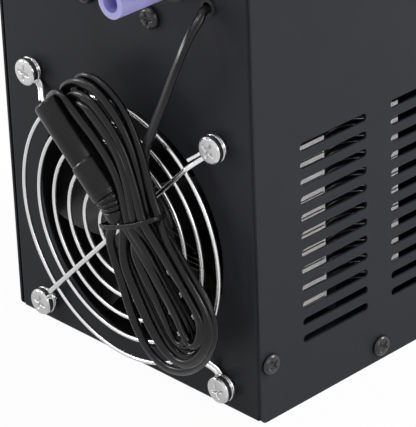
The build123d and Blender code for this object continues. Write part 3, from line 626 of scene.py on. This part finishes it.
class CHILLER_OT_guard(bpy.types.Operator):
    """Wire guard: six rings between two stepped diagonals that end in loops round the screws"""

    bl_idname = "chiller.guard"
    bl_label = "Wire guard"

    def execute(self, context):
        sizes, colours = settings()
        facing = (0, 1, 0)
        # Lengths in millimetres: the rings, then the diagonals with their loops and the steps from
        # them up to the rings, then the wire ends that lie beside each diagonal
        outer, inner, rings, ring_depth = 56.3, 10.8, 6, 6.2
        weld, loop, step, step_start, step_end = 0.3, 4.1, 9.0, 6.0, 18
        tail_gap, tail_start, tail_thin, tail_spread, tail_rows = 0.95, 0.6, 0.75, 0.5, 24
        fan_height = FAN_Z / MM
        parts = []
        angle = np.arange(180) * tau / 180
        for radius in np.linspace(outer, inner, rings):
            path = out(radius * np.cos(angle), ring_depth, fan_height + radius * np.sin(angle))
            parts.append(sweep(path, ring_section(sizes.ring_wire / 2, 12), facing, closed=True))
        section = ring_section(sizes.spoke_wire / 2, 14)
        wire = sizes.spoke_wire / MM
        touch = (sizes.ring_wire / MM + wire) / 2 - weld
        reach = SCREW_SPAN / MM * hypot(1, 1)
        flat = wire / 2
        for lean, depth in ((1, ring_depth + touch), (-1, ring_depth - touch)):
            way = np.array([cos(radians(45)), sin(radians(45)) * lean])
            side = np.array([-way[1], way[0]])

            def laid(distance, aside=0.0):
                """Wire's place along its diagonal, stepped from the loops up to the rings."""
                rise = flat + (depth - flat) * smooth(0, step, reach - step_start - np.abs(distance))
                spot = np.multiply.outer(distance, way) + np.multiply.outer(aside + 0 * distance, side)
                return out(spot[:, 0], rise, fan_height + spot[:, 1])

            half = np.linspace(reach - step_end, reach - loop, 40)
            parts.append(sweep(laid(np.concatenate([-half[::-1], [0.0], half])), section, facing))
            for end in (-1, 1):
                x, z = end * reach * way
                bend = angle[::4]
                path = out(x + loop * np.cos(bend), flat, fan_height + z + loop * np.sin(bend))
                parts.append(sweep(path, section, facing, closed=True))
                tail_reach = reach - loop
                tail = end * (tail_reach - np.linspace(tail_start, sizes.tail / MM, tail_rows))
                aside = end * (tail_gap * wire + tail_spread * np.linspace(0, 1, tail_rows) ** 2)
                parts.append(sweep(laid(tail, aside), section * tail_thin, facing))
        finish = plain("guard_wire", colours.plating, 0.24, metal=1.0, spread=0.04, depth=0.0000005)
        piece("guard_wires", parts, finish, replaces=("fan_guard",))
        return {"FINISHED"}


def screw_head(origin, axis, radius, height, rim, turn, cross, shank, length, count=96, rows=30):
    """Head with a nearly flat face, a rounded rim and a straight side. The cross recess is the larger
    of two smooth bars that narrow outwards, sunk towards the middle, and a shank stands behind."""
    axis = unit(np.array(axis, float))
    side = unit(np.cross(axis, (0.0, 0.0, 1.0)))
    rise = np.cross(side, axis)
    angle = np.arange(count) * tau / count
    t = np.linspace(0.01, 1, rows)[:, None]
    r = radius * np.sin(t * pi / 2) ** 0.8
    edge = np.clip((r - radius + rim) / rim, 0, 1)
    dome = 0.05 * radius * (r / radius) ** 2
    z = height - dome - (rim * 0.9) * (1 - np.sqrt(np.maximum(1 - edge**2, 0)))
    x, y = r * np.cos(angle - turn), r * np.sin(angle - turn)
    half, tip, sunk = cross
    width = half * (1 - 0.4 * np.minimum(r / tip, 1))

    def bar(over, along):
        """Bar of the cross: 1 inside, falling smoothly to 0 at its sides and ends."""
        sides = 1 - smooth(0.8 * width, 1.25 * width, np.abs(over))
        ends = 1 - smooth(tip - 0.5 * half, tip + 0.3 * half, np.abs(along))
        return sides * ends

    z = z - np.maximum(bar(x, y), bar(y, x)) * sunk * (1 - 0.5 * np.minimum(r / tip, 1))
    foot = np.array([[1.0, 0.35 * height], [1.0, 0.12 * height], [0.95, 0.0], [0.3, 0.0]])
    r = np.concatenate([np.broadcast_to(r, (rows, count)), radius * np.repeat(foot[:, :1], count, 1)])
    z = np.concatenate([z, np.repeat(foot[:, 1:], count, 1)])
    points = (np.array(origin) + z[..., None] * axis
              + (r * np.cos(angle))[..., None] * side + (r * np.sin(angle))[..., None] * rise)
    tone = np.concatenate([np.broadcast_to(smooth(0, 0.4, edge), (rows, count)), np.ones((4, count))])
    into_head = 0.0002
    head = grid(points, wrap_cols=True, cap=True, tone=tone)
    return [head, lathe([shank, shank], [into_head, -length], origin, axis, 16)]


class CHILLER_OT_screws(bpy.types.Operator):
    """Plated guard screws, and the black screws of the cover and the bracket"""

    bl_idname = "chiller.screws"
    bl_label = "Screws"

    def execute(self, context):
        sizes, colours = settings()
        outwards = (0, -1, 0)
        washer_radii = [0.0024, 0.0055, 0.0058, 0.0058, 0.0055, 0.0024]
        washer_heights = [0, 0, 0.0002, 0.0006, 0.0008, 0.0008]
        front = PANEL_Y - sizes.spoke_wire
        parts = []
        for (x, z), turn in zip(SCREWS, (0.25, 0.1, -0.35, 0.5)):
            parts.append(lathe(washer_radii, washer_heights, (x, front, z), outwards, 64, tone=1.0))
            parts += screw_head(
                (x, front - washer_heights[-1], z), outwards, radius=sizes.head_radius, height=0.0033,
                rim=0.0012, turn=turn, cross=(0.0008, 0.0033, 0.0019), shank=0.0019, length=0.013,
            )
        finish = plated("plated_screw", colours.plating)
        piece("guard_screw_heads", parts, finish, replaces=("guard_screws",))
        black = plain("black_screw", (0.014, 0.014, 0.015), 0.28, grain=700.0, depth=0.00006)
        across, bracket_z = 18.2, 158.5
        parts = []
        for side in (-1, 1):
            parts += screw_head(
                out(side * across, 0, bracket_z), outwards, radius=0.0046, height=0.003, rim=0.002,
                turn=0.4 + side, cross=(0.00085, 0.003, 0.0017), shank=0.0018, length=0.005,
                count=72, rows=26,
            )
        piece("bracket_screw_heads", parts, black, replaces=("bracket_screws",))
        cover_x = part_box("top_cover")[1].x
        end_y, low_z, high_z, middle_z = PANEL_Y + 0.0052, 0.0255, 0.190, 0.0067
        spots = [(end_y, low_z), (end_y, high_z), (-end_y, low_z), (-end_y, high_z), (0, middle_z)]
        parts = []
        for side in (-1, 1):
            for i, (y, z) in enumerate(spots):
                parts += screw_head(
                    (side * cover_x, y, z), (side, 0, 0), radius=0.0044, height=0.0022, rim=0.0018,
                    turn=0.7 * i + side, cross=(0.0008, 0.0026, 0.0014), shank=0.0015, length=0.006,
                    count=72, rows=26,
                )
        piece("cover_screw_heads", parts, black, replaces=("cover_screws",))
        return {"FINISHED"}


def cord_line():
    """Cord's smooth line, read from a NURBS curve through the control points, and its roll."""
    curve = bpy.data.curves.new("cord_route", "CURVE")
    curve.dimensions = "3D"
    spline = curve.splines.new("NURBS")
    spline.points.add(len(CORD_POINTS) - 1)
    spots = out(*CORD_POINTS[:, :3].T)
    spline.points.foreach_set("co", np.concatenate([spots, np.ones((len(spots), 1))], 1).ravel())
    spline.order_u = 3
    spline.use_endpoint_u = True
    curve.resolution_u = 8
    holder = bpy.data.objects.new("cord_route", curve)
    mesh = bpy.data.meshes.new_from_object(holder)
    line = np.zeros(3 * len(mesh.vertices))
    mesh.vertices.foreach_get("co", line)
    line = line.reshape(-1, 3)
    bpy.data.objects.remove(holder)
    bpy.data.curves.remove(curve)
    bpy.data.meshes.remove(mesh)
    # The line runs from 0 to spans, and each point pulls most at its own place on it
    spans = len(CORD_POINTS) - 2
    places = np.concatenate([[0], np.arange(spans) + 0.5, [spans]])
    roll = np.interp(np.linspace(0, spans, len(line)), places, CORD_POINTS[:, 3])
    return line, np.radians(roll)


class CHILLER_OT_cord(bpy.types.Operator):
    """Flat twin cord from its hole into the tied hank and on to the connector"""

    bl_idname = "chiller.cord"
    bl_label = "Cord"

    def execute(self, context):
        sizes, colours = settings()
        line, roll = cord_line()
        angle = np.arange(26) * tau / 26
        groove_depth, groove_width = 0.1, 0.22
        groove = 1 - groove_depth * np.exp(-((np.cos(angle) / groove_width) ** 2))
        half = np.array([sizes.cord_width, sizes.cord_thickness]) / 2
        section = half * np.stack([np.cos(angle), np.sin(angle) * groove], 1)
        # The cord faces out, and upwards where it comes straight out of its hole
        along = unit(np.gradient(line, axis=0))
        upwards = 6 * smooth(0.75, 0.98, -along[:, 1])
        facing = unit(np.stack([0 * roll, 0 * roll - 1, upwards], 1))
        tube = sweep(line, section, facing, turn=roll)
        finish = jacket("cord_jacket", colours.cord)
        cord = piece("supply_cord", [tube], finish, replaces=("power_cord", "cord_hank"))
        out(*CORD_DROP[0][:3]).tolist()
        return {"FINISHED"}


class CHILLER_OT_tie(bpy.types.Operator):
    """Flat black tie round the waist of the hank"""

    bl_idname = "chiller.tie"
    bl_label = "Tie"

    def execute(self, context):
        _, colours = settings()
        centre_x, centre_depth, centre_z = 20.4, 16.6, 78.9
        tilt = radians(23.5)
        half_wide, half_deep = 17.5, 6.35
        half_thick, half_band = 0.38 * MM, 0.9 * MM

        def rounded(wave, power):
            """Sine or cosine raised to a power with its sign kept, which squares a circle up."""
            return np.sign(wave) * np.abs(wave) ** power

        angle = np.arange(160) * tau / 160
        wide = half_wide * rounded(np.cos(angle), 2 / 3)
        deep = half_deep * rounded(np.sin(angle), 2 / 3)
        sway = 0.35 * np.sin(3 * angle + 0.6)
        x = centre_x + wide * cos(tilt) - sway * sin(tilt)
        z = centre_z + wide * sin(tilt) + sway * cos(tilt)
        path = out(x, centre_depth + deep, z)
        angle = np.arange(24) * tau / 24
        section = np.stack(
            [half_thick * rounded(np.cos(angle), 0.6), half_band * rounded(np.sin(angle), 0.35)], 1)
        hank_axis = np.array([-sin(tilt), 0.0, cos(tilt)])
        band = sweep(path, section, hank_axis, closed=True)
        finish = jacket("tie_plastic", colours.cord)
        piece("hank_tie", [band], finish, replaces=("cord_tie",))
        return {"FINISHED"}


class CHILLER_OT_connector(bpy.types.Operator):
    """Round in-line socket: barrel, thicker neck, ribbed sleeve that bends into the tie"""

    bl_idname = "chiller.connector"
    bl_label = "Connector"

    def execute(self, context):
        _, colours = settings()
        mouth = np.array([-20.4, 21.0, 118.9])
        neck = np.array([11.1, 19.5, 87.6])
        way = unit(neck - mouth)
        heel = np.array([15.2, 19.2, 78.6])
        neck_end = 43.5
        straight = mouth + way * neck_end
        # Profile as distance along the axis and radius, from the floor of the bore out over the rim
        rows = np.array([
            (12, 0.01), (12, 3.9), (0.9, 3.9), (0.35, 4.2), (0.1, 4.7), (0, 5.2), (0.1, 5.9), (0.5, 6.35),
            (1.2, 6.6), (14, 6.6), (27.4, 6.6), (27.8, 6.45), (28.1, 6.55), (28.4, 6.95), (29.2, 7.05),
            (36, 7.0), (42.4, 7.0), (43.2, 6.9), (43.5, 6.65),
        ])
        # The sleeve bends to its heel; each groove is four rows with steep walls
        groove_depth, lead = 0.85, 5.5
        starts = 0.06 + 0.17 * np.arange(4)
        grooves = (starts[:, None] + [0, 0.012, 0.062, 0.074]).ravel()
        sunk = np.tile([0.0, groove_depth, groove_depth, 0.0], 4)
        stops = np.sort(np.concatenate([grooves, np.linspace(0.015, 1, 22)]))
        inside = np.interp(stops, grooves, sunk)
        t = stops[:, None]
        bend = (1 - t) ** 2 * straight + 2 * t * (1 - t) * (straight + way * lead) + t**2 * heel
        sleeve_start, sleeve_end = 6.6, 4.4
        taper = sleeve_start - (sleeve_start - sleeve_end) * stops**1.4 - inside
        centres = np.concatenate([mouth + rows[:, :1] * way, bend])
        radii = np.concatenate([rows[:, 1], taper])
        ahead = np.concatenate([np.repeat(way[None], len(rows), 0), unit(np.gradient(bend, axis=0))])
        side = unit(np.cross(ahead, (0, 1, 0)))
        rise = np.cross(side, ahead)
        angle = np.arange(56) * tau / 56
        round_it = np.cos(angle)[:, None] * side[:, None] + np.sin(angle)[:, None] * rise[:, None]
        spots = centres[:, None] + radii[:, None, None] * round_it
        part = grid(out(*np.moveaxis(spots, -1, 0)), wrap_cols=True, cap=True)
        finish = jacket("connector_jacket", colours.cord)
        piece("inline_socket", [part], finish, replaces=("cord_socket",))
        dress(plain("shell_steel", (0.5, 0.5, 0.5), 0.25, metal=1.0), "socket_shell")
        dress(plain("pin_brass", (0.75, 0.6, 0.3), 0.2, metal=1.0), "socket_pin")
        return {"FINISHED"}


def floor_disc(scene):
    """White disc: its glow makes it white to the camera, and what it leaves keeps the object's shadow."""
    camera_share, mirrored_share = 0.96, 0.4
    floor = Finish("floor_white", Base_Color=(0.85, 0.85, 0.85, 1.0), Roughness=0.9)
    camera, mirrored = floor.background_rays()
    glow = floor.node("ShaderNodeEmission", None, {"Color": WHITE, "Strength": 1.0})
    amount = camera * camera_share + mirrored * mirrored_share
    own = Value(floor, floor.shader.outputs[0])
    surface = floor.node("ShaderNodeMixShader", None, {0: amount, 1: own, 2: glow})
    floor.feed(floor.tree.nodes["Material Output"].inputs["Surface"], surface)
    count = 96
    angle = np.arange(count) * tau / count
    radii = np.array([0.01, 0.4, 1.2, 3.0])[:, None, None]
    circle = np.stack([np.cos(angle), np.sin(angle), 0 * angle], 1)
    points, quads, _, _ = grid(radii * circle, wrap_cols=True)
    mesh = bpy.data.meshes.new("floor")
    mesh.from_pydata(points, [], quads.tolist() + [list(range(count))])
    mesh.materials.append(floor.material)
    ground = bpy.data.objects.new("floor", mesh)
    scene.collection.objects.link(ground)


def white_world(scene):
    """Surroundings that look white and light the pieces softly."""
    fill_level = 0.3
    world = bpy.data.worlds.new("studio")
    scene.world = world
    sky = Nodes(world)
    camera, mirrored = sky.background_rays()
    sockets = {"Value": camera + mirrored, "To Min": fill_level, "To Max": 1.0}
    level = sky.node("ShaderNodeMapRange", None, sockets)
    background = sky.tree.nodes["Background"].inputs
    sky.feed(background["Strength"], level)
    sky.feed(background["Color"], WHITE)


class CHILLER_OT_stage(bpy.types.Operator):
    """White floor and surroundings, soft lamps and the camera"""

    bl_idname = "chiller.stage"
    bl_label = "Stage"

    def execute(self, context):
        scene = context.scene
        scene.view_settings.view_transform = "Standard"
        floor_disc(scene)
        white_world(scene)
        # Name, place, target, diameter and power of each lamp
        lamps = (
            ("back_key", (0.85, 1.0, 0.95), (0.0, -0.1, 0.0), 0.6, 22.0),
            ("right_soft", (1.4, -0.35, 0.65), (0.07, 0.0, 0.1), 0.7, 5.0),
            ("left_soft", (-0.75, -0.5, 0.3), (-0.05, -0.07, 0.1), 0.3, 3.0),
            ("front_top", (-0.45, -0.75, 1.05), (0.0, -0.07, 0.1), 0.2, 2.2),
        )
        for name, place, target, size, power in lamps:
            lamp = bpy.data.lights.new(name, "AREA")
            lamp.shape, lamp.size, lamp.energy = "DISK", size, power
            holder = bpy.data.objects.new(name, lamp)
            holder.location = place
            holder.rotation_euler = (Vector(target) - Vector(place)).to_track_quat("-Z", "Y").to_euler()
            scene.collection.objects.link(holder)
        # The camera's place, its focal length in pixels and its turn, worked out from the photo
        stand = (0.76843, -0.75279, 0.60737)
        focal, photo_side, sensor = 2934.53, 427, 36.0
        azimuth, elevation, roll = radians(46.5664), radians(27.7122), radians(-2.1632)
        back = Vector((sin(azimuth) * cos(elevation), -cos(azimuth) * cos(elevation), sin(elevation)))
        right = (-back).cross(Vector((0, 0, 1))).normalized()
        up = right.cross(-back)
        right, up = right * cos(roll) + up * sin(roll), up * cos(roll) - right * sin(roll)
        camera = bpy.data.cameras.new("camera")
        camera.sensor_width, camera.sensor_fit = sensor, "AUTO"
        camera.lens = focal * sensor / photo_side
        camera.clip_start, camera.clip_end = 0.05, 20.0
        eye = bpy.data.objects.new("camera", camera)
        turned = Matrix((right, up, back)).transposed().to_4x4()
        eye.matrix_world = Matrix.Translation(stand) @ turned
        scene.collection.objects.link(eye)
        scene.camera = eye
        return {"FINISHED"}


class CHILLER_PT_panel(bpy.types.Panel):
    """Pieces, sizes and colours of the chiller"""

    bl_label = "Chiller"
    bl_idname = "CHILLER_PT_panel"
    bl_space_type = "VIEW_3D"
    bl_region_type = "UI"
    bl_category = "Chiller"

    def draw(self, context):
        for operator in OPERATORS:
            self.layout.operator(operator.bl_idname)
        for group in (context.scene.chiller_sizes, context.scene.chiller_colours):
            for name in group.bl_rna.properties.keys():
                if name not in ("rna_type", "name"):
                    self.layout.prop(group, name)


OPERATORS = (
    CHILLER_OT_casing, CHILLER_OT_fan, CHILLER_OT_cooler, CHILLER_OT_fins, CHILLER_OT_guard,
    CHILLER_OT_screws, CHILLER_OT_tie, CHILLER_OT_connector, CHILLER_OT_cord, CHILLER_OT_stage,
)
CLASSES = (ChillerSizes, ChillerColours, *OPERATORS, CHILLER_PT_panel)


def register():
    for item in CLASSES:
        bpy.utils.register_class(item)
    bpy.types.Scene.chiller_sizes = bpy.props.PointerProperty(type=ChillerSizes)
    bpy.types.Scene.chiller_colours = bpy.props.PointerProperty(type=ChillerColours)


def unregister():
    del bpy.types.Scene.chiller_sizes, bpy.types.Scene.chiller_colours
    for item in reversed(CLASSES):
        bpy.utils.unregister_class(item)


def main():
    """Makes every piece in order."""
    register()
    for operator in OPERATORS:
        group, name = operator.bl_idname.split(".")
        getattr(getattr(bpy.ops, group), name)()


if __name__ == "__main__":
    main()
